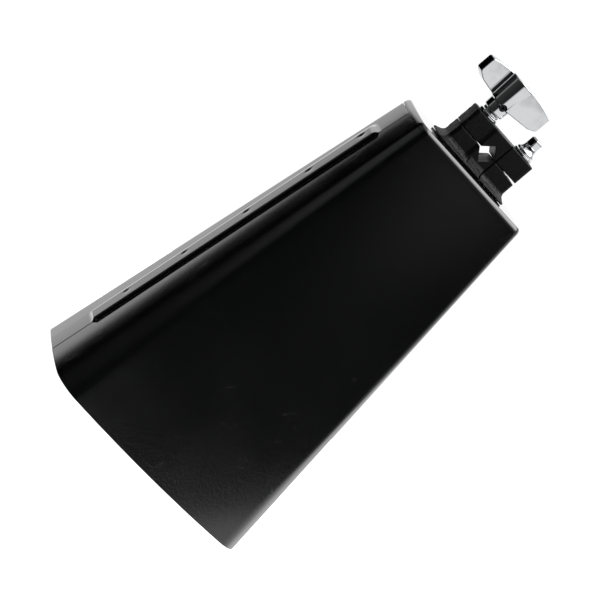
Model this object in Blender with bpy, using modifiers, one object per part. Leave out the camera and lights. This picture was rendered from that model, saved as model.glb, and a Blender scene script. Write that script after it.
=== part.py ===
"""Mounted cowbell: a two-sheet steel bell with a cast rod clamp on its closed end.

The bell stands on its mouth. +Z runs up to the closed end and the clamp, -Y is
the broad front face, and the seams run down the narrow sides at +X and -X. The
origin is the centre of the mouth. Lengths are in metres.
"""

import math

import bmesh
import bpy
from mathutils import Matrix, Vector

MM = 0.001

# Clearance kept between pieces that touch on the real object.
GAP = 0.3 * MM

# How far cutters stand out past what they cut: all round the bell, and past a casting.
FAR = 100.0 * MM
PAST = 30.0 * MM

# Bell: height, sheet, and the outer section at the mouth and at the closed end.
BELL_HEIGHT = 216.3 * MM
SHEET = 1.5 * MM
FOLD_HEIGHT = 3.6 * MM
FOLD_INSET = 2.2 * MM
MOUTH = {"width": 135.2 * MM, "depth": 94.8 * MM, "corner": 13.1 * MM, "crown": 8.8 * MM}
CLOSED_END = {"width": 78.9 * MM, "depth": 47.4 * MM, "corner": 6.0 * MM, "crown": 0.7 * MM}

# Side seams: the rear sheet laps outside a tab of the front sheet.
LAP_LIFT = SHEET + GAP
LAP_RAISED_Y = 9.5 * MM
LAP_BLEND_Y = 15.5 * MM
LAP_START_Z = 18.0 * MM
LAP_RAMP = 6.0 * MM
LAP_END_Z = BELL_HEIGHT - 18.0 * MM
TAB_WIDTH = 8.0 * MM

# Clamp: plan and heights above the end plate.
CLAMP_X = 1.8 * MM
JAW_HALF_LENGTH = 21.7 * MM
JAW_HALF_DEPTH = 6.25 * MM
JAW_CORNER = 2.0 * MM
BOSS_RISE = 1.0 * MM
BOSS_STEP = 0.2 * MM
BOSS_RAMP = 2.0 * MM
FOOT_FLARE = 3.3 * MM
FOOT_SHIFT = -0.5 * MM
FOOT_EDGE_Z = 1.2 * MM
FLARE_TOP_Z = 4.3 * MM
BASE_TOP_Z = 12.1 * MM
JAW_BOTTOM_Z = 12.5 * MM
JAW_TOP_Z = 24.1 * MM
KEY_SIDE_RELIEF = 0.35 * MM
ROD_X = 0.6 * MM
ROD_HALF_DIAGONAL = 5.8 * MM
GROOVE_WIDTH = 0.8 * MM
GROOVE_DEPTH = 0.8 * MM

# Screws of the clamp: both are M6, one on each side of the rod.
SCREW_OFFSET = 14.1 * MM
WING_X = CLAMP_X - SCREW_OFFSET
KEY_X = CLAMP_X + SCREW_OFFSET
SCREW_RADIUS = 3.0 * MM
CLEAR_RADIUS = SCREW_RADIUS + GAP
SLOT_REACH = 1.1 * MM
SCREW_END_Z = 1.0 * MM
NUT_SIDE = 10.0 * MM
NUT_HEIGHT = 5.0 * MM

# Mounting of the clamp on the end plate, from inside the bell.
MOUNT_SPREAD = 4.4 * MM
MOUNT_RADIUS = 2.0 * MM
MOUNT_DEPTH = 5.0 * MM
MOUNT_HEAD_RADIUS = 3.5 * MM
MOUNT_HEAD_HEIGHT = 2.6 * MM
MOUNT_HEAD_DOME = 0.8 * MM
DRIVE = {"reach": 2.4 * MM, "half_width": 0.5 * MM, "depth": 1.3 * MM}
BACKING = {"length": 34.0 * MM, "width": 16.0 * MM, "thickness": 1.5 * MM, "corner": 4.0 * MM}
MOUNT_WASHER = {"outer": 3.7 * MM, "inner": 2.3 * MM, "thickness": 1.0 * MM}

# Wing screw: washers, hub and the two offset wings.
FLAT_WASHER = {"outer": 5.8 * MM, "inner": 3.3 * MM, "thickness": 1.5 * MM}
SPRING_WASHER = {"outer": 5.05 * MM, "inner": 3.3 * MM, "thickness": 1.5 * MM}
WING_REST_ANGLE = math.radians(15.0)
HUB_NECK_HEIGHT = 4.8 * MM
HUB_TOP_Z = 48.9 * MM
HUB_NECK_RADII = (6.0 * MM, 6.2 * MM)
HUB_RADII = (7.2 * MM, 7.9 * MM)
WING_LENGTH = 22.1 * MM
WING_FACE = 7.5 * MM
WING_THICKNESS = 5.7 * MM
CREST_FALL = 5.8
SET_SCREW_RADIUS = 1.9 * MM
SET_SCREW_Z = 33.0 * MM

# Key bolt: washer, flange with a flared skirt and the square head.
KEY_WASHER = {"outer": 5.85 * MM, "inner": 3.3 * MM, "thickness": 1.1 * MM}
KEY_FLANGE_RADIUS = 5.3 * MM
KEY_SQUARE = 5.2 * MM
KEY_TOP_Z = 35.4 * MM
KEY_REST_ANGLE = math.radians(23.0)

ROUND_STEPS = 32
CORNER_STEPS = 6
FACE_STEPS = 10
FOLD_STEPS = 4


# ---------------------------------------------------------------- scene helpers

def clear_scene():
    """Remove everything the file was opened with."""
    for obj in list(bpy.data.objects):
        bpy.data.objects.remove(obj, do_unlink=True)


def make_collection(name):
    """Link a new collection to the scene."""
    collection = bpy.data.collections.new(name)
    bpy.context.scene.collection.children.link(collection)
    return collection


def make_material(name, colour, roughness, metallic):
    """Return a Principled material."""
    material = bpy.data.materials.new(name)
    material.use_nodes = True
    shader = material.node_tree.nodes["Principled BSDF"]
    shader.inputs["Base Color"].default_value = (*colour, 1.0)
    shader.inputs["Roughness"].default_value = roughness
    shader.inputs["Metallic"].default_value = metallic
    material.diffuse_color = (*colour, 1.0)
    return material


def add_object(name, bm, collection):
    """Turn a bmesh into a linked object, shaded smooth except at sharp edges."""
    mesh = bpy.data.meshes.new(name)
    bm.to_mesh(mesh)
    bm.free()
    mesh.shade_smooth()
    mesh.set_sharp_from_angle(angle=math.radians(35.0))
    obj = bpy.data.objects.new(name, mesh)
    collection.objects.link(obj)
    return obj


def add_part(name, bm, look):
    """Add a piece of the cowbell with a material of its own."""
    obj = add_object(name, bm, PARTS)
    obj.data.materials.append(make_material(name, *look))
    return obj


def add_cutter(name, bm):
    """Add a guide that only shapes other pieces."""
    obj = add_object(name, bm, CUTTERS)
    obj.hide_render = True
    obj.display_type = "WIRE"
    return obj


def combine(obj, other, operation):
    """Add one Boolean modifier to a piece."""
    modifier = obj.modifiers.new(other.name, "BOOLEAN")
    modifier.operation = operation
    modifier.object = other
    modifier.solver = "EXACT"


def cut(obj, *cutters):
    """Subtract cutters from a piece."""
    for cutter in cutters:
        combine(obj, cutter, "DIFFERENCE")


def join(obj, *others):
    """Unite guides with a piece."""
    for other in others:
        combine(obj, other, "UNION")


# ---------------------------------------------------------------- shape helpers

def box(low, high):
    """Return a box between two corners."""
    low = Vector(low)
    high = Vector(high)
    bm = bmesh.new()
    bmesh.ops.create_cube(bm, size=1.0)
    for vertex in bm.verts:
        vertex.co = Vector((low[i] + (vertex.co[i] + 0.5) * (high[i] - low[i]) for i in range(3)))
    return bm


def cylinder(radius, low_z, high_z, x=0.0, y=0.0, steps=ROUND_STEPS):
    """Return an upright cylinder."""
    bm = bmesh.new()
    middle = Matrix.Translation((x, y, 0.5 * (low_z + high_z)))
    bmesh.ops.create_cone(bm, cap_ends=True, segments=steps, radius1=radius, radius2=radius,
                          depth=high_z - low_z, matrix=middle)
    return bm


def loft(rings):
    """Return a closed solid through rings of equal point count, capped at both ends."""
    bm = bmesh.new()
    rows = [[bm.verts.new(point) for point in ring] for ring in rings]
    count = len(rings[0])
    for lower, upper in zip(rows, rows[1:]):
        for i in range(count):
            j = (i + 1) % count
            bm.faces.new((lower[i], lower[j], upper[j], upper[i]))
    bm.faces.new(list(reversed(rows[0])))
    bm.faces.new(rows[-1])
    bmesh.ops.recalc_face_normals(bm, faces=bm.faces)
    return bm


def turned(name, profile, look, steps=ROUND_STEPS, place=(0.0, 0.0, 0.0)):
    """Add a piece turned about Z from a closed (radius, height) profile."""
    bm = bmesh.new()
    vertices = [bm.verts.new((radius, 0.0, height)) for radius, height in profile]
    for i, vertex in enumerate(vertices):
        bm.edges.new((vertex, vertices[(i + 1) % len(vertices)]))
    obj = add_part(name, bm, look)
    obj.location = place
    screw = obj.modifiers.new("turn", "SCREW")
    screw.axis = "Z"
    screw.steps = steps
    screw.render_steps = steps
    screw.use_merge_vertices = True
    screw.merge_threshold = 0.00001
    screw.use_smooth_shade = True
    return obj


def arc(centre, radius, start, end, steps):
    """Return points along an arc, both ends included, angles in degrees."""
    points = []
    for i in range(steps + 1):
        angle = math.radians(start + (end - start) * i / steps)
        points.append((centre[0] + radius * math.cos(angle), centre[1] + radius * math.sin(angle)))
    return points


def washer(name, size, low_z, look, x=0.0, split=False):
    """Add a washer, with a slit through one side if it is a spring washer."""
    high_z = low_z + size["thickness"]
    profile = [(size["outer"], high_z), (size["outer"], low_z),
               (size["inner"], low_z), (size["inner"], high_z)]
    obj = turned(name, profile, look, place=(x, 0.0, 0.0))
    if split:
        slit = box((x, -0.4 * MM, low_z - MM), (x + 2.0 * size["outer"], 0.4 * MM, high_z + MM))
        cut(obj, add_cutter(name + "_slit", slit))
    return obj


# ------------------------------------------------------------------------ bell

def bell_section(z, inset):
    """Return the bell's straight-sided section at a height, set in by a distance."""
    share = z / BELL_HEIGHT
    size = {key: MOUTH[key] + (CLOSED_END[key] - MOUTH[key]) * share for key in MOUTH}
    size["width"] -= 2.0 * inset
    size["depth"] -= 2.0 * inset
    size["corner"] = max(size["corner"] - inset, 0.5 * MM)
    return size


def side_lift(y, z):
    """Return how far the rear sheet stands out over the seam tab at a side point."""
    across = 1.0 - min(max((y - LAP_RAISED_Y) / (LAP_BLEND_Y - LAP_RAISED_Y), 0.0), 1.0)
    rise = min(max((z - LAP_START_Z) / LAP_RAMP, 0.0), 1.0)
    fall = min(max((LAP_END_Z - z) / LAP_RAMP, 0.0), 1.0)
    return LAP_LIFT * across * across * (3.0 - 2.0 * across) * min(rise, fall)


def bell_ring(z, inset, lifted, section_z=None):
    """Return the outline of the bell at one height, counter-clockwise from +X."""
    size = bell_section(z if section_z is None else section_z, inset)
    half_x = 0.5 * size["width"]
    half_y = 0.5 * size["depth"] - size["crown"]
    corner = size["corner"]
    side_ys = [0.0, LAP_RAISED_Y, 0.5 * (LAP_RAISED_Y + LAP_BLEND_Y), LAP_BLEND_Y]
    quarter = [(half_x, y) for y in side_ys]
    quarter += arc((half_x - corner, half_y - corner), corner, 0.0, 90.0, CORNER_STEPS)
    reach = half_x - corner
    quarter += [(reach * (1.0 - 2.0 * i / FACE_STEPS), half_y) for i in range(1, FACE_STEPS // 2 + 1)]
    left = [(-x, y) for x, y in reversed(quarter[1:-1])]
    half = quarter + left
    outline = half + [(-x, -y) for x, y in half]
    points = []
    for x, y in outline:
        crown = size["crown"] * (1.0 - (x / half_x) ** 2) * min(abs(y) / half_y, 1.0)
        lift = side_lift(y, z) if lifted and y >= 0.0 and abs(x) > 0.999 * half_x else 0.0
        points.append((x + math.copysign(lift, x), y + math.copysign(crown, y), z))
    return points


def bell_solid(inset, bottom_z, lifted):
    """Return the solid inside the bell's surface set in by a distance."""
    wall_top = BELL_HEIGHT - FOLD_HEIGHT
    fold_height = FOLD_HEIGHT - inset
    fold_inset = FOLD_INSET - inset
    levels = [bottom_z, LAP_START_Z, LAP_START_Z + LAP_RAMP, LAP_END_Z - LAP_RAMP, LAP_END_Z, wall_top]
    rings = [bell_ring(z, inset, lifted) for z in levels]
    for i in range(1, FOLD_STEPS + 1):
        angle = 0.5 * math.pi * i / FOLD_STEPS
        set_in = inset + fold_inset * (1.0 - math.cos(angle))
        rings.append(bell_ring(wall_top + fold_height * math.sin(angle), set_in, lifted, wall_top))
    return loft(rings)


def make_bell():
    """Add the two sheets of the bell."""
    below = -5.0 * MM
    above = BELL_HEIGHT + FAR
    wall_top = BELL_HEIGHT - FOLD_HEIGHT
    tab_low = LAP_START_Z + LAP_RAMP + MM
    tab_high = LAP_END_Z - LAP_RAMP - MM

    front = add_part("front_shell", bell_solid(0.0, 0.0, False), BELL_BLACK)
    cut(front, add_cutter("front_inside", bell_solid(SHEET, below, False)))
    behind_seam = -0.5 * GAP
    for name, y, low, high in (
        ("front_trim_mouth", behind_seam, below, tab_low),
        ("front_trim_tab", TAB_WIDTH, tab_low - MM, tab_high + MM),
        ("front_trim_end", behind_seam, tab_high, wall_top),
    ):
        cut(front, add_cutter(name, box((-FAR, y, low), (FAR, FAR, high))))
    for side in (-1.0, 1.0):
        x = ROD_X + side * MOUNT_SPREAD
        hole = cylinder(MOUNT_RADIUS + GAP, BELL_HEIGHT - 4.0 * MM, BELL_HEIGHT + MM, x)
        cut(front, add_cutter("end_plate_hole_%d" % side, hole))

    rear = add_part("rear_shell", bell_solid(0.0, 0.0, True), BELL_BLACK)
    cut(rear, add_cutter("rear_inside", bell_solid(SHEET, below, True)))
    cut(rear, add_cutter("rear_trim_front", box((-FAR, -FAR, below), (FAR, 0.5 * GAP, above))))
    cut(rear, add_cutter("rear_trim_end", box((-FAR, 0.0, wall_top - GAP), (FAR, FAR, above))))


# ----------------------------------------------------------------------- clamp

def clamp_ring(z, half_x, half_y, boss, shift=0.0):
    """Return the plan of a clamp casting, with the boss of the rod hole front and rear."""
    corners = []
    for sign_x, sign_y, start in ((1, 1, 0), (-1, 1, 90), (-1, -1, 180), (1, -1, 270)):
        centre = (CLAMP_X + shift + sign_x * (half_x - JAW_CORNER), sign_y * (half_y - JAW_CORNER))
        corners.append(arc(centre, JAW_CORNER, start, start + 90, 4))
    low_x = ROD_X - ROD_HALF_DIAGONAL
    high_x = ROD_X + ROD_HALF_DIAGONAL
    rear_bump = [(high_x, half_y), (high_x - BOSS_STEP, half_y + boss),
                 (low_x + BOSS_STEP, half_y + boss), (low_x - BOSS_RAMP, half_y)]
    front_bump = [(x, -y) for x, y in reversed(rear_bump)]
    outline = corners[0] + rear_bump + corners[1] + corners[2] + front_bump + corners[3]
    return [(x, y, BELL_HEIGHT + z) for x, y in outline]


def rod_diamond(name):
    """Return a cutter for the square rod hole that stands on its corner."""
    side = ROD_HALF_DIAGONAL * math.sqrt(2.0)
    bm = box((-0.5 * side, -PAST, -0.5 * side), (0.5 * side, PAST, 0.5 * side))
    middle = Vector((ROD_X, 0.0, BELL_HEIGHT + BASE_TOP_Z))
    turn = Matrix.Translation(middle) @ Matrix.Rotation(math.radians(45.0), 4, "Y")
    bmesh.ops.transform(bm, matrix=turn, verts=bm.verts)
    return add_cutter(name, bm)


def front_groove(name, low, high):
    """Return a cutter for the upright groove beside the rod hole."""
    x = ROD_X + ROD_HALF_DIAGONAL
    y = -JAW_HALF_DEPTH + GROOVE_DEPTH
    return add_cutter(name, box((x, -PAST, BELL_HEIGHT + low), (x + GROOVE_WIDTH, y, BELL_HEIGHT + high)))


def key_side_relief(name, low, high):
    """Return a cutter that opens the gap between the castings on the key bolt's side."""
    x = ROD_X + ROD_HALF_DIAGONAL + 0.5 * GROOVE_WIDTH
    return add_cutter(name, box((x, -PAST, BELL_HEIGHT + low), (x + PAST, PAST, BELL_HEIGHT + high)))


def make_clamp_base():
    """Add the casting that stands on the end plate."""
    foot_x = JAW_HALF_LENGTH + FOOT_FLARE
    foot_y = JAW_HALF_DEPTH + FOOT_FLARE
    bm = loft([
        clamp_ring(GAP, foot_x, foot_y, 0.0, FOOT_SHIFT),
        clamp_ring(FOOT_EDGE_Z, foot_x, foot_y, 0.0, FOOT_SHIFT),
        clamp_ring(FLARE_TOP_Z, JAW_HALF_LENGTH, JAW_HALF_DEPTH, BOSS_RISE),
        clamp_ring(BASE_TOP_Z, JAW_HALF_LENGTH, JAW_HALF_DEPTH, BOSS_RISE),
    ])
    base = add_part("clamp_base", bm, CAST_BLACK)
    cut(base, rod_diamond("base_rod_vee"))
    cut(base, front_groove("base_groove", FOOT_EDGE_Z, BASE_TOP_Z + MM))
    cut(base, key_side_relief("base_relief", BASE_TOP_Z - KEY_SIDE_RELIEF, BASE_TOP_Z + MM))
    pocket = 0.5 * NUT_SIDE + GAP
    pocket_top = BELL_HEIGHT + 2.0 * GAP + NUT_HEIGHT + GAP
    for name, x in (("wing", WING_X), ("key", KEY_X)):
        pit = box((x - pocket, -pocket, BELL_HEIGHT - MM), (x + pocket, pocket, pocket_top))
        cut(base, add_cutter(name + "_nut_pocket", pit))
        bore = cylinder(CLEAR_RADIUS, pocket_top - MM, BELL_HEIGHT + BASE_TOP_Z + MM, x)
        cut(base, add_cutter(name + "_base_bore", bore))
    for side in (-1.0, 1.0):
        x = ROD_X + side * MOUNT_SPREAD
        top = BELL_HEIGHT + MOUNT_DEPTH + GAP
        hole = cylinder(MOUNT_RADIUS + GAP, BELL_HEIGHT - MM, top, x)
        cut(base, add_cutter("base_mount_hole_%d" % side, hole))


def slot(x, low_z, high_z):
    """Return a slot along X with round ends."""
    ends = [(x + SLOT_REACH, -90.0), (x - SLOT_REACH, 90.0)]
    plan = []
    for centre, start in ends:
        plan += arc((centre, 0.0), CLEAR_RADIUS, start, start + 180.0, 12)
    return loft([[(px, py, z) for px, py in plan] for z in (low_z, high_z)])


def make_clamp_jaw():
    """Add the loose upper casting."""
    edge = 0.5 * MM
    bm = loft([
        clamp_ring(JAW_BOTTOM_Z, JAW_HALF_LENGTH, JAW_HALF_DEPTH, BOSS_RISE),
        clamp_ring(JAW_TOP_Z - edge, JAW_HALF_LENGTH, JAW_HALF_DEPTH, BOSS_RISE),
        clamp_ring(JAW_TOP_Z, JAW_HALF_LENGTH - edge, JAW_HALF_DEPTH - edge, BOSS_RISE),
    ])
    jaw = add_part("clamp_jaw", bm, CAST_BLACK)
    cut(jaw, rod_diamond("jaw_rod_vee"))
    cut(jaw, front_groove("jaw_groove", JAW_BOTTOM_Z - MM, JAW_TOP_Z + MM))
    cut(jaw, key_side_relief("jaw_relief", JAW_BOTTOM_Z - MM, JAW_BOTTOM_Z + KEY_SIDE_RELIEF))
    low = BELL_HEIGHT + JAW_BOTTOM_Z - MM
    high = BELL_HEIGHT + JAW_TOP_Z + MM
    cut(jaw, add_cutter("jaw_wing_slot", slot(WING_X, low, high)))
    cut(jaw, add_cutter("jaw_key_slot", slot(KEY_X, low, high)))


def square_nut(name, x):
    """Add a captive square nut in its pocket under the clamp base."""
    half = 0.5 * NUT_SIDE
    low = BELL_HEIGHT + 2.0 * GAP
    nut = add_part(name, box((x - half, -half, low), (x + half, half, low + NUT_HEIGHT)), ZINC)
    bore = cylinder(CLEAR_RADIUS, low - MM, low + NUT_HEIGHT + MM, x)
    cut(nut, add_cutter(name + "_bore", bore))


def make_mounting():
    """Add the backing plate, screws and lock washers inside the bell."""
    plate_top = BELL_HEIGHT - SHEET - GAP
    plate_low = plate_top - BACKING["thickness"]
    half_x = 0.5 * BACKING["length"]
    half_y = 0.5 * BACKING["width"]
    plan = []
    for sign_x, sign_y, start in ((1, 1, 0), (-1, 1, 90), (-1, -1, 180), (1, -1, 270)):
        centre = (ROD_X + sign_x * (half_x - BACKING["corner"]), sign_y * (half_y - BACKING["corner"]))
        plan += arc(centre, BACKING["corner"], start, start + 90, CORNER_STEPS)
    rings = [[(x, y, z) for x, y in plan] for z in (plate_low, plate_top)]
    plate = add_part("backing_plate", loft(rings), ZINC)
    washer_low = plate_low - GAP - MOUNT_WASHER["thickness"]
    head_top = washer_low - GAP
    head_low = head_top - MOUNT_HEAD_HEIGHT
    dome = MOUNT_HEAD_DOME
    reach = DRIVE["reach"]
    blade = DRIVE["half_width"]
    drive_top = head_low + DRIVE["depth"]
    for side, sign in (("left", -1.0), ("right", 1.0)):
        x = ROD_X + sign * MOUNT_SPREAD
        hole = cylinder(MOUNT_RADIUS + GAP, plate_low - MM, plate_top + MM, x)
        cut(plate, add_cutter("backing_hole_" + side, hole))
        washer("mount_lock_washer_" + side, MOUNT_WASHER, washer_low, ZINC, x, split=True)
        profile = [(0.0, BELL_HEIGHT + MOUNT_DEPTH), (MOUNT_RADIUS, BELL_HEIGHT + MOUNT_DEPTH),
                   (MOUNT_RADIUS, head_top), (MOUNT_HEAD_RADIUS, head_top),
                   (MOUNT_HEAD_RADIUS, head_low + dome), (MOUNT_HEAD_RADIUS - dome, head_low),
                   (0.0, head_low)]
        screw = turned("mount_screw_" + side, profile, ZINC, place=(x, 0.0, 0.0))
        slot_low = head_low - MM
        drive = box((x - reach, -blade, slot_low), (x + reach, blade, drive_top))
        drive_across = box((x - blade, -reach, slot_low), (x + blade, reach, drive_top))
        cut(screw, add_cutter("drive_" + side, drive), add_cutter("drive_across_" + side, drive_across))


# ------------------------------------------------------------------ wing screw

def wing_crest(reach):
    """Return the height of the handle's arched top at a distance from the axis."""
    return HUB_TOP_Z - CREST_FALL * reach ** 2


def wing_outline():
    """Return one wing's outline as (distance from the axis, height) points."""
    low = HUB_BOTTOM_Z + HUB_NECK_HEIGHT
    tip = WING_LENGTH
    heel = [(0.0, low), (tip - 5.0 * MM, low + 2.0 * MM)]
    lower = arc((tip - 2.2 * MM, low + 5.7 * MM), 2.2 * MM, -66.0, 0.0, 5)
    upper = arc((tip - 1.3 * MM, wing_crest(tip) - 1.2 * MM), 1.3 * MM, 0.0, 76.0, 4)
    crest = [(MM * reach, wing_crest(MM * reach)) for reach in (16.0, 12.0, 8.0, 4.0, 0.0)]
    return heel + lower + upper + crest


def wing_plate(turn):
    """Return one wing as a plate with softened edges, turned about the screw's axis."""
    bm = bmesh.new()
    outline = [bm.verts.new((w, -WING_FACE, z)) for w, z in wing_outline()]
    face = bm.faces.new(outline)
    grown = bmesh.ops.extrude_face_region(bm, geom=[face])
    moved = [item for item in grown["geom"] if isinstance(item, bmesh.types.BMVert)]
    bmesh.ops.translate(bm, vec=(0.0, WING_THICKNESS, 0.0), verts=moved)
    bmesh.ops.recalc_face_normals(bm, faces=bm.faces)
    rims = [edge for edge in bm.edges if edge.calc_face_angle() > math.radians(60.0)
            and max(v.co.x for v in edge.verts) > MM]
    bmesh.ops.bevel(bm, geom=rims, offset=0.5 * MM, segments=2, profile=0.5, affect="EDGES")
    place = Matrix.Translation((WING_X, 0.0, BELL_HEIGHT)) @ Matrix.Rotation(WING_REST_ANGLE + turn, 4, "Z")
    bmesh.ops.transform(bm, matrix=place, verts=bm.verts)
    return bm


def make_wing_screw():
    """Add the wing screw and the washers that it presses on."""
    washer("wing_flat_washer", FLAT_WASHER, BELL_HEIGHT + WASHER_Z, CHROME, WING_X)
    spring_z = WASHER_Z + FLAT_WASHER["thickness"] + GAP
    washer("wing_spring_washer", SPRING_WASHER, BELL_HEIGHT + spring_z, CHROME, WING_X, split=True)

    neck_top = HUB_BOTTOM_Z + HUB_NECK_HEIGHT
    chamfer = 0.5 * MM
    profile = [(0.0, HUB_TOP_Z), (HUB_RADII[1] - 1.2 * MM, HUB_TOP_Z - 0.1 * MM),
               (HUB_RADII[1], HUB_TOP_Z - MM), (HUB_RADII[0], neck_top + 0.6 * MM),
               (HUB_NECK_RADII[1], neck_top), (HUB_NECK_RADII[0], HUB_BOTTOM_Z + chamfer),
               (HUB_NECK_RADII[0] - chamfer, HUB_BOTTOM_Z), (0.0, HUB_BOTTOM_Z)]
    handle = turned("wing_handle", profile, CHROME, place=(WING_X, 0.0, BELL_HEIGHT))
    for name, turn in (("wing_right", 0.0), ("wing_left", math.pi)):
        join(handle, add_cutter(name, wing_plate(turn)))
    stud_top = BELL_HEIGHT + HUB_TOP_Z - 5.0 * MM
    bore = cylinder(CLEAR_RADIUS, BELL_HEIGHT + HUB_BOTTOM_Z - MM, stud_top + GAP, WING_X)
    cut(handle, add_cutter("handle_bore", bore))
    set_hole = cylinder(SET_SCREW_RADIUS + GAP, 0.0, 0.02)
    centre = Matrix.Translation((WING_X, 0.0, BELL_HEIGHT + SET_SCREW_Z))
    aim = centre @ Matrix.Rotation(math.radians(90.0), 4, "X")
    bmesh.ops.transform(set_hole, matrix=aim, verts=set_hole.verts)
    cut(handle, add_cutter("set_screw_hole", set_hole))

    turned("wing_stud", [(0.0, stud_top), (SCREW_RADIUS, stud_top),
                         (SCREW_RADIUS, BELL_HEIGHT + SCREW_END_Z + 0.6 * MM),
                         (SCREW_RADIUS - 0.6 * MM, BELL_HEIGHT + SCREW_END_Z),
                         (0.0, BELL_HEIGHT + SCREW_END_Z)], ZINC, place=(WING_X, 0.0, 0.0))

    outer_end = 6.0 * MM
    inner_end = SCREW_RADIUS + GAP
    length = outer_end - inner_end
    set_screw = turned("wing_set_screw", [(0.0, length), (SET_SCREW_RADIUS, length),
                                          (SET_SCREW_RADIUS, 0.0), (0.0, 0.0)], BLACK_STEEL)
    set_screw.matrix_world = aim @ Matrix.Translation((0.0, 0.0, inner_end))
    socket = cylinder(1.1 * MM, outer_end - 1.5 * MM, outer_end + MM, steps=6)
    bmesh.ops.transform(socket, matrix=aim, verts=socket.verts)
    cut(set_screw, add_cutter("set_screw_socket", socket))


# -------------------------------------------------------------------- key bolt

def make_key_bolt():
    """Add the drum-key bolt and its washer."""
    washer("key_washer", KEY_WASHER, BELL_HEIGHT + WASHER_Z, CHROME, KEY_X)
    flange_low = WASHER_Z + KEY_WASHER["thickness"] + GAP
    skirt = arc((7.6 * MM, flange_low + 4.4 * MM), 4.0 * MM, 180.0, 234.0, 5)
    profile = [(0.0, flange_low + 4.6 * MM), (3.4 * MM, flange_low + 4.6 * MM)] + skirt
    profile += [(KEY_FLANGE_RADIUS, flange_low + 0.8 * MM), (KEY_FLANGE_RADIUS, flange_low),
                (SCREW_RADIUS, flange_low), (SCREW_RADIUS, SCREW_END_Z), (0.0, SCREW_END_Z)]
    bolt = turned("key_bolt", profile, CHROME, place=(KEY_X, 0.0, BELL_HEIGHT))
    half = 0.5 * KEY_SQUARE
    head = box((-half, -half, flange_low + 2.0 * MM), (half, half, KEY_TOP_Z))
    upright = [edge for edge in head.edges if abs(edge.verts[0].co.z - edge.verts[1].co.z) > MM]
    bmesh.ops.bevel(head, geom=upright, offset=0.5 * MM, segments=2, profile=0.5, affect="EDGES")
    top = [edge for edge in head.edges if min(v.co.z for v in edge.verts) > KEY_TOP_Z - 0.1 * MM]
    bmesh.ops.bevel(head, geom=top, offset=1.2 * MM, segments=3, profile=0.5, affect="EDGES")
    place = Matrix.Translation((KEY_X, 0.0, BELL_HEIGHT)) @ Matrix.Rotation(KEY_REST_ANGLE, 4, "Z")
    bmesh.ops.transform(head, matrix=place, verts=head.verts)
    join(bolt, add_cutter("key_head", head))


WASHER_Z = JAW_TOP_Z + GAP
HUB_BOTTOM_Z = WASHER_Z + FLAT_WASHER["thickness"] + SPRING_WASHER["thickness"] + 2.0 * GAP

# Looks as (colour, roughness, metallic).
BELL_BLACK = ((0.012, 0.012, 0.013), 0.28, 0.0)
CAST_BLACK = ((0.014, 0.014, 0.015), 0.5, 0.0)
CHROME = ((0.83, 0.84, 0.85), 0.07, 1.0)
ZINC = ((0.55, 0.56, 0.58), 0.35, 1.0)
BLACK_STEEL = ((0.03, 0.03, 0.032), 0.35, 1.0)

clear_scene()
PARTS = make_collection("cowbell")
CUTTERS = make_collection("cutters")
make_bell()
make_clamp_base()
make_clamp_jaw()
square_nut("wing_stud_nut", WING_X)
square_nut("key_bolt_nut", KEY_X)
make_mounting()
make_wing_screw()
make_key_bolt()
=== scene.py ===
import math

import bmesh
import bpy
from mathutils import Matrix, Vector, noise


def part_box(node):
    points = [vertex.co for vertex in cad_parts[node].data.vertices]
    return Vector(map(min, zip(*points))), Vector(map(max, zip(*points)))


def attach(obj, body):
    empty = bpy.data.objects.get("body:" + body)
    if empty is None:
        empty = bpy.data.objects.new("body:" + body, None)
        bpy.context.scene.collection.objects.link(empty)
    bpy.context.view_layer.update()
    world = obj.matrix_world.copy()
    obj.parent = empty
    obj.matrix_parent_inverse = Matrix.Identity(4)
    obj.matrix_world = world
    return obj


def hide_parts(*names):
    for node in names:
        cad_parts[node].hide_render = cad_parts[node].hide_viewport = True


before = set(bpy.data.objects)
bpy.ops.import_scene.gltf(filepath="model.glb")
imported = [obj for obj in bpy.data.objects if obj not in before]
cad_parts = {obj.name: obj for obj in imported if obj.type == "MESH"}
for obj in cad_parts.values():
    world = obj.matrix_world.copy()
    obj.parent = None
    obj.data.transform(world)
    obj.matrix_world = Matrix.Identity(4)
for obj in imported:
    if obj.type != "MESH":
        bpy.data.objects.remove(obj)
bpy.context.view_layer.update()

# Looks of the mounted cowbell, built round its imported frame. Lengths are in metres.

MM = 0.001
GAP = 0.3 * MM

# ------------------------------------------------------------------ dimensions

FRONT_LOW, FRONT_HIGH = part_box("front_shell")
HEIGHT = FRONT_HIGH.z
SHEET = 1.5 * MM
FOLD_HEIGHT = 3.6 * MM
FOLD_INSET = 2.2 * MM
WALL_TOP = HEIGHT - FOLD_HEIGHT
MOUTH = {"width": FRONT_HIGH.x - FRONT_LOW.x, "depth": -2.0 * FRONT_LOW.y,
         "corner": 13.1 * MM, "crown": 8.8 * MM}
CLOSED_END = {"width": 78.9 * MM, "depth": 47.4 * MM, "corner": 6.0 * MM, "crown": 0.7 * MM}
SIDE_CURVE = 1.5              # bulge of the narrow sides, per metre
EDGE_RADIUS = 0.3 * MM

# Side seams: the rear sheet is raised over the tab of the front sheet.
LAP_LIFT = 1.8 * MM
LAP_RAISED_Y = 9.5 * MM
LAP_BLEND_Y = 15.5 * MM
LAP_LOW_Z = 24.0 * MM
LAP_HIGH_Z = 195.5 * MM
LAP_RAMP = 2.5 * MM
TAB_Y = 8.0 * MM
TAB_LOW_Z = 27.0 * MM
TAB_HIGH_Z = 191.0 * MM
WELD_HEIGHTS = [z * MM for z in (47.0, 82.0, 119.0, 156.0, 187.0)]
WELD_Y = 6.0 * MM
WELD_RADIUS = 2.8 * MM
WELD_DEPTH = 0.28 * MM

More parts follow.
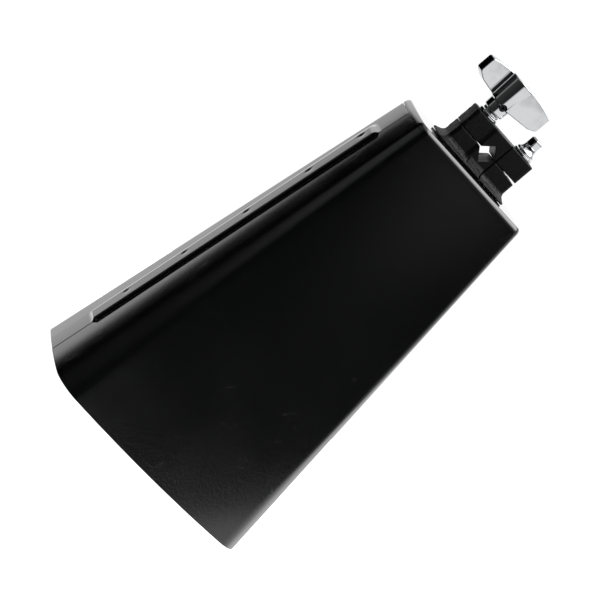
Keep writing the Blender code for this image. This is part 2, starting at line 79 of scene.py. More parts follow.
# Clamp, from the boxes of its castings; heights are above the end plate.
JAW_LOW, JAW_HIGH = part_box("clamp_jaw")
CLAMP_X = 0.5 * (JAW_LOW.x + JAW_HIGH.x)
JAW_HALF_LENGTH = 0.5 * (JAW_HIGH.x - JAW_LOW.x)
JAW_HALF_DEPTH = 6.25 * MM
BOSS_RISE = JAW_HIGH.y - JAW_HALF_DEPTH
BASE_LOW, BASE_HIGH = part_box("clamp_base")
BASE_BOTTOM = BASE_LOW.z
FOOT_HALF_LENGTH = 0.5 * (BASE_HIGH.x - BASE_LOW.x)
FOOT_HALF_DEPTH = BASE_HIGH.y
FOOT_X = 0.5 * (BASE_LOW.x + BASE_HIGH.x)
BASE_TOP = HEIGHT + 12.1 * MM
JAW_BOTTOM = HEIGHT + 12.5 * MM
JAW_TOP = JAW_HIGH.z
ROD_X = 0.6 * MM
ROD_HALF_DIAGONAL = 5.8 * MM
RELIEF_START_X = 13.5 * MM
RELIEF_END_X = 26.0 * MM
RELIEF_DEPTH = 1.05 * MM
SCREW_OFFSET = 14.1 * MM
WING_X = CLAMP_X - SCREW_OFFSET
KEY_X = CLAMP_X + SCREW_OFFSET
BORE_RADIUS = 3.3 * MM
BORE_SLOT = 1.1 * MM          # how far the jaw's bores are drawn out, so that it can rock
NUT_POCKET = 5.3 * MM
FAR = 0.03                    # half the depth of a cut that goes right through the clamp
CAST_VOXEL = 0.3 * MM

# Wing screw.
WING_ANGLE = 15.0
WING_FACE = 7.5 * MM
WING_THICKNESS = 5.7 * MM
WING_LENGTH = 22.1 * MM
HUB_NECK = 4.8 * MM
SET_SCREW_RADIUS = 1.9 * MM
SET_SCREW_HOLE = 2.05 * MM
SOCKET_RADIUS = 0.98 * MM
SOCKET_DEPTH = 1.6 * MM

# Key bolt.
KEY_SHANK = 3.0 * MM
KEY_FLANGE = 5.3 * MM
KEY_SKIRT = 4.0 * MM
KEY_HALF_WIDTH = 2.6 * MM
KEY_ANGLE = 23.0

# Stage: a white floor, and a studio given as (azimuth, brightness) stops and soft lamps.
FLOOR_RADIUS = 0.45
FLOOR_TOP = -0.2 * MM
FLOOR_GLOW = 0.75
BACKDROP = 1.05
FRONT_STOPS = ((-90, 0.0), (-75, 0.3), (-52, 0.14), (-22, 0.17), (-6, 0.0),
               (36, 0.0), (70, 0.25), (100, 0.25), (118, 0.0))
BACK_STOPS = ((-180, 1.0), (-120, 0.9), (-75, 0.0), (157.2, 0.0), (160.0, 0.86), (180, 1.0))
LOW_STOPS = ((-120, 0.0), (-100, 1.1), (-75, 1.1), (4, 1.05), (15, 0.02), (40, 0.03),
             (79, 0.05), (86, 0.22), (92, 0.22), (99, 0.0))
HIGH_STOPS = ((-180, 1.3), (-110, 0.9), (-75, 0.0), (152, 0.0), (157, 0.75), (160, 1.25), (180, 1.3))
# Azimuth, elevation, inner and outer half angle in degrees, and strength.
LAMPS = ((-62.0, 60.0, 6.0, 44.0, 4.6), (0.0, 88.0, 20.0, 60.0, 1.0))

# Camera: where it stands round the bell, in degrees and metres, and its lens.
CAMERA = {"azimuth": -21.902, "elevation": 8.329, "roll": 49.742, "distance": 1.49458,
          "lens": 177.53, "shift_x": -0.00246, "shift_y": 0.00481}
LOOK_AT = Vector((0.0, 0.0, 0.108))


# --------------------------------------------------------------- mesh helpers

def add_mesh(name, bm, smooth_angle=35.0):
    """Turn a bmesh into a linked object, shaded smooth except at sharp edges."""
    mesh = bpy.data.meshes.new(name)
    bm.to_mesh(mesh)
    bm.free()
    mesh.shade_smooth()
    mesh.set_sharp_from_angle(angle=math.radians(smooth_angle))
    obj = bpy.data.objects.new(name, mesh)
    bpy.context.scene.collection.objects.link(obj)
    return obj


def apply_modifiers(obj, smooth_angle=35.0):
    """Replace a piece's mesh by the result of its modifiers."""
    graph = bpy.context.evaluated_depsgraph_get()
    mesh = bpy.data.meshes.new_from_object(obj.evaluated_get(graph))
    obj.modifiers.clear()
    obj.data = mesh
    mesh.shade_smooth()
    mesh.set_sharp_from_angle(angle=math.radians(smooth_angle))
    return obj


def combine(obj, bm, operation="DIFFERENCE"):
    """Cut a bmesh from a piece, or unite it with the piece."""
    other = add_mesh("guide", bm)
    modifier = obj.modifiers.new("combine", "BOOLEAN")
    modifier.operation = operation
    modifier.object = other
    modifier.solver = "EXACT"
    apply_modifiers(obj)
    bpy.data.objects.remove(other, do_unlink=True)
    return obj


def bevel_edges(obj, width, segments=3, angle=40.0):
    """Round a piece's sharp edges."""
    modifier = obj.modifiers.new("round", "BEVEL")
    modifier.width = width
    modifier.segments = segments
    modifier.limit_method = "ANGLE"
    modifier.angle_limit = math.radians(angle)
    modifier.harden_normals = False
    return apply_modifiers(obj)


def box(low, high):
    """Return a box between two corners."""
    bm = bmesh.new()
    bmesh.ops.create_cube(bm, size=1.0)
    for vertex in bm.verts:
        vertex.co = Vector((low[i] + (vertex.co[i] + 0.5) * (high[i] - low[i]) for i in range(3)))
    return bm


def lathe(profile, steps=96, place=(0.0, 0.0, 0.0)):
    """Return a closed solid turned about Z from (radius, height) points."""
    bm = bmesh.new()
    rings = []
    for radius, height in profile:
        if radius < 1e-7:
            rings.append([bm.verts.new((place[0], place[1], place[2] + height))])
            continue
        ring = []
        for i in range(steps):
            angle = 2.0 * math.pi * i / steps
            ring.append(bm.verts.new((place[0] + radius * math.cos(angle),
                                      place[1] + radius * math.sin(angle), place[2] + height)))
        rings.append(ring)
    for lower, upper in zip(rings, rings[1:] + rings[:1]):
        if len(lower) == 1 and len(upper) == 1:
            continue
        for i in range(steps):
            j = (i + 1) % steps
            corners = []
            for vertex in (lower[i % len(lower)], lower[j % len(lower)],
                           upper[j % len(upper)], upper[i % len(upper)]):
                if vertex not in corners:
                    corners.append(vertex)
            bm.faces.new(corners)
    bmesh.ops.recalc_face_normals(bm, faces=bm.faces)
    return bm


def rounded(points, radii, steps=4):
    """Return a closed outline with its corners rounded, one radius for each."""
    made = []
    count = len(points)
    for i, radius in enumerate(radii):
        here = Vector(points[i])
        if radius <= 0.0:
            made.append(tuple(here))
            continue
        before = (Vector(points[i - 1]) - here).normalized()
        after = (Vector(points[(i + 1) % count]) - here).normalized()
        start = here + before * radius
        end = here + after * radius
        for k in range(steps + 1):
            t = k / steps
            made.append(tuple(start * (1 - t) ** 2 + here * 2 * t * (1 - t) + end * t ** 2))
    return made


def loft(rings, cap=True):
    """Return a solid through rings of equal point count."""
    bm = bmesh.new()
    rows = [[bm.verts.new(point) for point in ring] for ring in rings]
    count = len(rings[0])
    for lower, upper in zip(rows, rows[1:]):
        for i in range(count):
            j = (i + 1) % count
            bm.faces.new((lower[i], lower[j], upper[j], upper[i]))
    if cap:
        bm.faces.new(list(reversed(rows[0])))
        bm.faces.new(rows[-1])
    bmesh.ops.recalc_face_normals(bm, faces=bm.faces)
    return bm


def smoothstep(value):
    """Return the smooth rise from 0 to 1 of a clamped value."""
    value = min(max(value, 0.0), 1.0)
    return value * value * (3.0 - 2.0 * value)


def even_normals(obj):
    """Keep flat faces flat in the shading, with only the rounded edges blended."""
    obj.modifiers.new("even", "WEIGHTED_NORMAL").keep_sharp = True
    return obj


def settle(obj, body, material, slot, *nodes):
    """Give a piece its material and body, and hide the CAD nodes that it stands for; slot is not used."""
    obj.data.materials.clear()
    obj.data.materials.append(material)
    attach(obj, body)
    if nodes:
        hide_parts(*nodes)
    return even_normals(obj)


# ------------------------------------------------------------------ materials

class Shader:
    """A Principled material with helpers for its procedural detail."""

    def __init__(self, name, **sockets):
        self.material = bpy.data.materials.new(name)
        self.material.use_nodes = True
        self.tree = self.material.node_tree
        self.shader = self.tree.nodes["Principled BSDF"]
        for socket, value in sockets.items():
            self.shader.inputs[socket.replace("_", " ")].default_value = value
        self.place = self.tree.nodes.new("ShaderNodeTexCoord").outputs["Object"]

    def node(self, kind, **values):
        """Add a node, with properties and input values by name."""
        node = self.tree.nodes.new(kind)
        for key, value in values.items():
            if hasattr(node, key):
                setattr(node, key, value)
            else:
                node.inputs[key.replace("_", " ")].default_value = value
        return node

    def link(self, output, socket):
        """Link an output to an input."""
        self.tree.links.new(output, socket)

    def stretched(self, scale):
        """Return coordinates scaled differently along each axis."""
        mapping = self.node("ShaderNodeMapping")
        mapping.inputs["Scale"].default_value = scale
        self.link(self.place, mapping.inputs["Vector"])
        return mapping.outputs["Vector"]

    def noise(self, scale, detail=3.0, vector=None):
        """Return a noise factor at a scale in features per metre."""
        node = self.node("ShaderNodeTexNoise", Scale=scale, Detail=detail)
        self.link(vector or self.place, node.inputs["Vector"])
        return node.outputs["Fac"]

    def remap(self, value, low, high, to_low, to_high):
        """Return a value mapped smoothly from one range to another."""
        node = self.node("ShaderNodeMapRange", interpolation_type="SMOOTHSTEP")
        sockets = ("From Min", "From Max", "To Min", "To Max")
        for socket, number in zip(sockets, (low, high, to_low, to_high)):
            node.inputs[socket].default_value = number
        self.link(value, node.inputs["Value"])
        return node.outputs["Result"]

    def math(self, operation, first, second):
        """Return the result of a sum on one or two values."""
        node = self.node("ShaderNodeMath", operation=operation)
        for socket, value in zip(node.inputs, (first, second)):
            if isinstance(value, (int, float)):
                socket.default_value = value
            else:
                self.link(value, socket)
        return node.outputs["Value"]

    def colour(self, factor, low, high):
        """Mix two colours into the base colour."""
        node = self.node("ShaderNodeMix", data_type="RGBA")
        self.link(factor, node.inputs[0])
        node.inputs[6].default_value = (*low, 1.0)
        node.inputs[7].default_value = (*high, 1.0)
        self.link(node.outputs[2], self.shader.inputs["Base Color"])

    def roughness(self, value):
        """Drive the roughness."""
        self.link(value, self.shader.inputs["Roughness"])

    def bump(self, *layers):
        """Stack bump layers given as (height, distance in metres, strength)."""
        normal = None
        for height, distance, strength in layers:
            node = self.node("ShaderNodeBump")
            node.inputs["Distance"].default_value = distance
            node.inputs["Strength"].default_value = strength
            self.link(height, node.inputs["Height"])
            if normal:
                self.link(normal, node.inputs["Normal"])
            normal = node.outputs["Normal"]
        self.link(normal, self.shader.inputs["Normal"])

    def scratches(self, scale, stretch, width):
        """Return thin broken lines, 1 on a scratch and 0 elsewhere."""
        lines = self.noise(scale, 1.0, self.stretched(stretch))
        away = self.math("ABSOLUTE", self.math("SUBTRACT", lines, 0.5), 0.0)
        line = self.remap(away, 0.0, width, 1.0, 0.0)
        broken = self.remap(self.noise(70.0, 2.0), 0.56, 0.64, 0.0, 1.0)
        return self.math("MULTIPLY", line, broken)


def bell_paint():
    """Black powder coat: faint orange peel, dust specks and hairline scratches."""
    look = Shader("bell_paint", Metallic=0.0)
    look.shader.inputs["IOR"].default_value = 1.52
    look.shader.inputs["Coat Weight"].default_value = 0.75
    look.shader.inputs["Coat Roughness"].default_value = 0.055
    look.shader.inputs["Coat IOR"].default_value = 1.5
    cloud = look.noise(28.0, 4.0)
    peel = look.noise(950.0, 2.0)
    grain = look.noise(3800.0, 1.0)
    lines = look.math("MAXIMUM", look.scratches(90.0, (1.0, 1.0, 0.12), 0.0018),
                      look.scratches(120.0, (0.15, 1.0, 1.0), 0.0015))
    specks = look.node("ShaderNodeTexVoronoi", Scale=420.0, Randomness=1.0)
    look.link(look.place, specks.inputs["Vector"])
    speck = look.remap(specks.outputs["Distance"], 0.05, 0.1, 1.0, 0.0)
    speck = look.math("MULTIPLY", speck, look.remap(look.noise(60.0, 2.0), 0.6, 0.66, 0.0, 1.0))
    look.colour(look.math("ADD", look.math("MULTIPLY", lines, 0.35), look.math("MULTIPLY", speck, 0.6)),
                (0.0022, 0.0023, 0.0024), (0.05, 0.052, 0.054))
    rough = look.remap(cloud, 0.3, 0.7, 0.075, 0.11)
    rough = look.math("ADD", rough, look.math("MULTIPLY", look.math("ADD", lines, speck), 0.15))
    look.roughness(rough)
    cuts = look.math("MULTIPLY", lines, -1.0)
    look.bump((peel, 0.00006, 0.35), (grain, 0.00001, 0.25), (cuts, 0.00002, 0.4))
    return look.material


def cast_black():
    """Satin black over a rough casting, with paler rubbed edges."""
    look = Shader("cast_black", Metallic=0.0)
    look.shader.inputs["IOR"].default_value = 1.5
    look.shader.inputs["Specular IOR Level"].default_value = 0.2
    cloud = look.noise(160.0, 4.0)
    grit = look.noise(1500.0, 4.0)
    pits = look.node("ShaderNodeTexVoronoi", Scale=1100.0, Randomness=1.0)
    look.link(look.place, pits.inputs["Vector"])
    wear = look.node("ShaderNodeNewGeometry").outputs["Pointiness"]
    worn = look.math("MULTIPLY", look.remap(wear, 0.53, 0.6, 0.0, 1.0),
                     look.remap(grit, 0.42, 0.62, 0.0, 1.0))
    look.colour(worn, (0.0016, 0.0017, 0.0018), (0.014, 0.0145, 0.015))
    look.roughness(look.remap(cloud, 0.3, 0.7, 0.34, 0.52))
    look.bump((grit, 0.00012, 0.6), (pits.outputs["Distance"], 0.0001, 0.35))
    return look.material


def chrome():
    """Polished chrome plate with faint haze and hairlines."""
    look = Shader("chrome", Metallic=1.0)
    cloud = look.noise(120.0, 4.0)
    lines = look.scratches(260.0, (1.0, 1.0, 0.1), 0.004)
    haze = look.math("ADD", look.remap(cloud, 0.35, 0.7, 0.0, 0.5), lines)
    look.colour(haze, (0.6, 0.61, 0.62), (0.54, 0.55, 0.565))
    look.roughness(look.math("ADD", look.remap(cloud, 0.35, 0.7, 0.035, 0.075),
                             look.math("MULTIPLY", lines, 0.12)))
    look.bump((look.noise(420.0, 2.0), 0.00002, 0.12))
    return look.material


def zinc():
    """Dull zinc plate with a mottled passivation."""
    look = Shader("zinc_plate", Metallic=1.0)
    cloud = look.noise(300.0, 4.0)
    look.colour(cloud, (0.42, 0.43, 0.44), (0.58, 0.58, 0.56))
    look.roughness(look.remap(cloud, 0.3, 0.7, 0.28, 0.42))
    look.bump((look.noise(2500.0, 2.0), 0.00003, 0.3))
    return look.material


def black_steel():
    """Black oxide steel of the set screw."""
    look = Shader("black_steel", Metallic=1.0)
    cloud = look.noise(900.0, 3.0)
    look.colour(cloud, (0.02, 0.02, 0.022), (0.06, 0.06, 0.062))
    look.roughness(look.remap(cloud, 0.3, 0.7, 0.28, 0.4))
    look.bump((look.noise(5000.0, 2.0), 0.00002, 0.3))
    return look.material


# ------------------------------------------------------------------------ bell

def section(z):
    """Return the bell's outer section at a height."""
    share = min(z / HEIGHT, 1.0)
    return {key: MOUTH[key] + (CLOSED_END[key] - MOUTH[key]) * share for key in MOUTH}


def lap_lift(y, z):
    """Return how far the rear sheet stands out over the seam tab at a side point."""
    across = 1.0 - smoothstep((y - LAP_RAISED_Y) / (LAP_BLEND_Y - LAP_RAISED_Y))
    ends = min(smoothstep((z - LAP_LOW_Z) / LAP_RAMP), smoothstep((LAP_HIGH_Z - z) / LAP_RAMP))
    return LAP_LIFT * across * ends


def weld_dent(y, z):
    """Return how far a side point is pressed in by the spot welds."""
    near = min(math.hypot(y - WELD_Y, z - weld) for weld in WELD_HEIGHTS)
    return WELD_DEPTH * (1.0 - smoothstep(near / WELD_RADIUS))


def bell_ring(z, section_z, inset, seam_y, lifted):
    """Return the bell's outline at one height as points counter-clockwise from the front's middle."""
    size = section(section_z)
    half_x = 0.5 * size["width"] - inset
    half_y = 0.5 * size["depth"] - inset - size["crown"]
    corner = max(size["corner"] - inset, 0.5 * MM)
    reach = half_x - corner
    lean = math.atan(2.0 * SIDE_CURVE * (half_y - corner))
    flat = half_y - corner + corner * math.sin(lean)
    face = [(reach * i / 14.0, half_y) for i in range(15)]
    turn = []
    for i in range(1, 13):
        angle = (0.5 * math.pi - lean) * i / 12.0
        turn.append((reach + corner * math.sin(angle), half_y - corner + corner * math.cos(angle)))
    turn[-1] = (half_x, flat)
    side = [(half_x, flat * (1.0 - i / 8.0)) for i in range(1, 8)]
    front = [(x, -y) for x, y in face + turn + side] + [(half_x, seam_y)]
    dense = [0.8, 1.6, 2.4, 3.2, 4.0, 4.8, 5.6, 6.4, 7.2, 8.0, 8.8, 9.5, 10.7, 11.9, 13.1, 14.3, 15.5]
    rear = [(half_x, seam_y + y * MM) for y in dense]
    rest = [(half_x, flat)] + [(x, y) for x, y in reversed(turn[:-1])] + list(reversed(face))
    half = front + rear + rest
    outline = half + [(-x, y) for x, y in reversed(half[1:-1])]
    points = []
    for x, y in outline:
        crown = size["crown"] * (1.0 - (x / half_x) ** 2) * min(abs(y) / half_y, 1.0)
        if abs(x) > 0.999 * half_x:
            out = SIDE_CURVE * (0.5 * flat ** 2 - y ** 2)
            if lifted and y > 0.0:
                out += lap_lift(y, z) - weld_dent(y, z)
        else:
            out = -0.5 * SIDE_CURVE * flat ** 2 * max(0.0, (abs(x) - reach) / corner)
        points.append((x + out * math.copysign(1.0, x), y + math.copysign(crown, y), z))
    return points


def shell(levels, seam_y, lifted, keep):
    """Return the outer surface of a sheet and its rings; keep says which faces belong to it."""
    bm = bmesh.new()
    rows = []
    for z, section_z, inset in levels:
        rows.append([bm.verts.new(point) for point in bell_ring(z, section_z, inset, seam_y, lifted)])
    count = len(rows[0])
    for lower, upper in zip(rows, rows[1:]):
        for i in range(count):
            j = (i + 1) % count
            middle = (lower[i].co + lower[j].co + upper[i].co + upper[j].co) / 4.0
            if keep(middle, seam_y):
                bm.faces.new((lower[i], lower[j], upper[j], upper[i]))
    return bm, rows


def bell_shells(paint):
    """Add the two sheets of the bell."""
    walls = sorted({0.0, TAB_LOW_Z, TAB_HIGH_Z, WALL_TOP} | {WALL_TOP * i / 40.0 for i in range(41)})
    walls = [z for i, z in enumerate(walls)
             if i == 0 or z - walls[i - 1] > 0.4 * MM or z in (TAB_LOW_Z, TAB_HIGH_Z)]
    levels = [(z, z, 0.0) for z in walls]
    for i in range(1, 15):
        angle = 0.5 * math.pi * i / 14.0
        levels.append((WALL_TOP + FOLD_HEIGHT * math.sin(angle), WALL_TOP,
                       FOLD_INSET * (1.0 - math.cos(angle))))

    def in_front(middle, seam_y):
        """Say whether a face belongs to the front sheet, its tabs or the folded end."""
        tab = TAB_LOW_Z < middle.z < TAB_HIGH_Z and middle.y < TAB_Y + 0.1 * MM
        return middle.y < seam_y or tab or middle.z > WALL_TOP

    bm, rows = shell(levels, -0.5 * GAP, False, in_front)
    bm.faces.new(rows[-1])
    bmesh.ops.delete(bm, geom=[v for v in bm.verts if not v.link_faces], context="VERTS")
    bmesh.ops.recalc_face_normals(bm, faces=bm.faces)
    front = thicken(add_mesh("bell_front", bm))
    settle(front, "bell", paint, "bell_paint", "front_shell")

    step = 1.25 * MM
    count = int((WALL_TOP - GAP) / step)
    heights = [(WALL_TOP - GAP) * i / count for i in range(count + 1)]
    rear_levels = [(z, z, 0.0) for z in heights]
    bm, _ = shell(rear_levels, 0.5 * GAP, True, lambda middle, seam_y: middle.y > seam_y)
    bmesh.ops.delete(bm, geom=[v for v in bm.verts if not v.link_faces], context="VERTS")
    bmesh.ops.recalc_face_normals(bm, faces=bm.faces)
    rear = thicken(add_mesh("bell_rear", bm))
    settle(rear, "bell", paint, "bell_paint", "rear_shell")


def thicken(obj):
    """Give an outer surface the sheet's thickness and eased edges."""
    solid = obj.modifiers.new("thickness", "SOLIDIFY")
    solid.thickness = SHEET
    solid.offset = -1.0
    solid.use_even_offset = True
    apply_modifiers(obj)
    return bevel_edges(obj, EDGE_RADIUS, 2, 50.0)


# ----------------------------------------------------------------------- clamp

def casting_ring(z, half_x, half_y, boss, middle_x, corner=2.0 * MM):
    """Return the plan of a clamp casting, with the boss of the rod hole front and rear."""
    low_x = ROD_X - ROD_HALF_DIAGONAL
    high_x = ROD_X + ROD_HALF_DIAGONAL
    plan = []
    for sign_x, sign_y, start in ((1, 1, 0.0), (-1, 1, 90.0), (-1, -1, 180.0), (1, -1, 270.0)):
        for i in range(7):
            angle = math.radians(start + 15.0 * i)
            plan.append((middle_x + sign_x * (half_x - corner) + corner * math.cos(angle),
                         sign_y * (half_y - corner) + corner * math.sin(angle)))
        if sign_x == 1 and sign_y == 1:
            plan += [(high_x, half_y), (high_x - 0.2 * MM, half_y + boss),
                     (low_x + 0.2 * MM, half_y + boss), (low_x - 2.0 * MM, half_y)]
        if sign_x == -1 and sign_y == -1:
            plan += [(low_x - 2.0 * MM, -half_y), (low_x + 0.2 * MM, -half_y - boss),
                     (high_x - 0.2 * MM, -half_y - boss), (high_x, -half_y)]
    return [(x, y, z) for x, y in plan]


def cast_surface(obj, voxel, rough):
    """Turn a sharp solid into a casting: eased edges and a grainy skin, rougher where rough says."""
    remesh = obj.modifiers.new("skin", "REMESH")
    remesh.mode = "VOXEL"
    remesh.voxel_size = voxel
    relax = obj.modifiers.new("ease", "SMOOTH")
    relax.factor = 0.5
    relax.iterations = 2
    apply_modifiers(obj, 180.0)
    skin = [(vertex.co.copy(), vertex.normal.copy()) for vertex in obj.data.vertices]
    for vertex, (place, normal) in zip(obj.data.vertices, skin):
        coarse = noise.noise(place * 900.0)
        fine = noise.noise(place * 2100.0 + Vector((7.0, 3.0, 1.0)))
        vertex.co = place + normal * rough(place) * (0.6 * coarse + 0.4 * fine)
    obj.data.update()
    return obj


def roughness_of_cast(place):
    """Return the height of the casting's grain at a point: coarse on the wing's side and the foot."""
    side = smoothstep((ROD_X - ROD_HALF_DIAGONAL - place.x) / (3.0 * MM))
    foot = smoothstep((HEIGHT + 5.0 * MM - place.z) / (2.0 * MM))
    return (0.03 + 0.2 * max(side, foot)) * MM


def diamond():
    """Return the square rod hole that stands on its corner."""
    side = ROD_HALF_DIAGONAL * math.sqrt(2.0)
    bm = box((-0.5 * side, -FAR, -0.5 * side), (0.5 * side, FAR, 0.5 * side))
    middle = Vector((ROD_X, 0.0, BASE_TOP))
    turn = Matrix.Translation(middle) @ Matrix.Rotation(math.radians(45.0), 4, "Y")
    bmesh.ops.transform(bm, matrix=turn, verts=bm.verts)
    return bm


def bore(x, low, high, reach=0.0):
    """Return an upright bore, longer along X by a reach at each end."""
    plan = []
    for centre, start in ((x + reach, -90.0), (x - reach, 90.0)):
        for i in range(17):
            angle = math.radians(start + 180.0 * i / 16.0)
            plan.append((centre + BORE_RADIUS * math.cos(angle), BORE_RADIUS * math.sin(angle)))
    return loft([[(px, py, z) for px, py in plan] for z in (low, high)])


def clamp(black):
    """Add the two castings of the clamp."""
    groove_x = ROD_X + ROD_HALF_DIAGONAL
    groove_y = -JAW_HALF_DEPTH + 0.8 * MM

    rings = []
    for z, flare in ((BASE_BOTTOM, 0.92), (BASE_BOTTOM + 0.3 * MM, 1.0), (HEIGHT + 1.2 * MM, 1.0),
                     (HEIGHT + 1.5 * MM, 0.86), (HEIGHT + 2.0 * MM, 0.6), (HEIGHT + 2.7 * MM, 0.34),
                     (HEIGHT + 3.5 * MM, 0.13), (HEIGHT + 4.6 * MM, 0.0), (BASE_TOP, 0.0)):
        half_x = JAW_HALF_LENGTH + flare * (FOOT_HALF_LENGTH - JAW_HALF_LENGTH)
        half_y = JAW_HALF_DEPTH + flare * (FOOT_HALF_DEPTH - JAW_HALF_DEPTH)
        middle_x = CLAMP_X + flare * (FOOT_X - CLAMP_X)
        rings.append(casting_ring(z, half_x, half_y, BOSS_RISE * (1.0 - flare), middle_x))
    base = add_mesh("clamp_base_cast", loft(rings))
    web = []
    for z, out in ((BASE_BOTTOM + 0.4 * MM, FOOT_HALF_DEPTH - 0.2 * MM),
                   (HEIGHT + 1.3 * MM, FOOT_HALF_DEPTH - 0.2 * MM),
                   (HEIGHT + 5.6 * MM, JAW_HALF_DEPTH + BOSS_RISE)):
        web.append([(ROD_X - 4.6 * MM, -out, z), (groove_x - 0.3 * MM, -out, z),
                    (groove_x - 0.3 * MM, out, z), (ROD_X - 4.6 * MM, out, z)])
    combine(base, loft(web), "UNION")
    combine(base, diamond())
    combine(base, box((groove_x, -FAR, HEIGHT + 0.8 * MM), (groove_x + 0.8 * MM, groove_y, BASE_TOP + MM)))
    relief = [(RELIEF_START_X, BASE_TOP), (RELIEF_END_X, BASE_TOP - RELIEF_DEPTH),
              (RELIEF_END_X, BASE_TOP + MM), (RELIEF_START_X, BASE_TOP + MM)]
    combine(base, loft([[(x, y, z) for x, z in relief] for y in (-FAR, FAR)]))
    for x in (WING_X, KEY_X):
        combine(base, bore(x, HEIGHT + 5.0 * MM, BASE_TOP + MM))
        combine(base, box((x - NUT_POCKET, -NUT_POCKET, HEIGHT - MM),
                          (x + NUT_POCKET, NUT_POCKET, HEIGHT + 5.9 * MM)))
    cast_surface(base, CAST_VOXEL, roughness_of_cast)
    settle(base, "bell", black, "cast_black", "clamp_base")

    rings = []
    for z, inset in ((JAW_BOTTOM, 0.0), (JAW_TOP - 0.4 * MM, 0.0), (JAW_TOP, 0.4 * MM)):
        rings.append(casting_ring(z, JAW_HALF_LENGTH - inset, JAW_HALF_DEPTH - inset, BOSS_RISE, CLAMP_X))
    jaw = add_mesh("clamp_jaw_cast", loft(rings))
    combine(jaw, diamond())
    combine(jaw, box((groove_x, -FAR, JAW_BOTTOM - MM), (groove_x + 0.8 * MM, groove_y, JAW_TOP + MM)))
    for x in (WING_X, KEY_X):
        combine(jaw, bore(x, JAW_BOTTOM - MM, JAW_TOP + MM, BORE_SLOT))
    cast_surface(jaw, CAST_VOXEL, roughness_of_cast)
    settle(jaw, "jaw", black, "cast_black", "clamp_jaw")


# ------------------------------------------------------------- screws, washers

def ring_piece(name, node, body, inner, edge, material, slot, split=False):
    """Add a washer with eased edges in place of its CAD node."""
    low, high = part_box(node)
    outer = 0.5 * (high.y - low.y)
    middle = Vector((0.5 * (low.x + high.x), 0.0, 0.0))
    profile = rounded([(outer, low.z), (outer, high.z), (inner, high.z), (inner, low.z)], [edge] * 4, 4)
    obj = add_mesh(name, lathe(profile, 128, middle))
    if split:
        combine(obj, box((middle.x, -0.4 * MM, low.z - MM), (middle.x + 0.01, 0.4 * MM, high.z + MM)))
    return settle(obj, body, material, slot, node)


def wing_plate(turn, face, thickness, length, low, top):
    """Return one wing as a plate with softened edges, turned about the screw's axis."""
    def crest(reach):
        """Return the height of the arched top at a distance from the axis."""
        return top - 5.8 * reach ** 2

    outline = [(0.0, low), (length - 5.0 * MM, low + 2.0 * MM)]
    for i in range(9):
        angle = math.radians(-66.0 + 66.0 * i / 8.0)
        outline.append((length - 2.2 * MM + 2.2 * MM * math.cos(angle),
                        low + 5.7 * MM + 2.2 * MM * math.sin(angle)))
    for i in range(7):
        angle = math.radians(76.0 * i / 6.0)
        outline.append((length - 1.3 * MM + 1.3 * MM * math.cos(angle),
                        crest(length) - 1.2 * MM + 1.3 * MM * math.sin(angle)))
    outline += [(reach * MM, crest(reach * MM)) for reach in (18, 16, 14, 12, 10, 8, 6, 4, 2, 0)]
    bm = bmesh.new()
    ring = [bm.verts.new((w, -face, z)) for w, z in outline]
    grown = bmesh.ops.extrude_face_region(bm, geom=[bm.faces.new(ring)])
    moved = [item for item in grown["geom"] if isinstance(item, bmesh.types.BMVert)]
    bmesh.ops.translate(bm, vec=(0.0, thickness, 0.0), verts=moved)
    bmesh.ops.recalc_face_normals(bm, faces=bm.faces)
    rims = [edge for edge in bm.edges if edge.calc_face_angle() > math.radians(60.0)
            and max(v.co.x for v in edge.verts) > MM]
    bmesh.ops.bevel(bm, geom=rims, offset=0.5 * MM, segments=3, profile=0.5, affect="EDGES")
    spin = Matrix.Rotation(math.radians(WING_ANGLE) + turn, 4, "Z")
    place = Matrix.Translation((WING_X, 0.0, 0.0)) @ spin
    bmesh.ops.transform(bm, matrix=place, verts=bm.verts)
    return bm


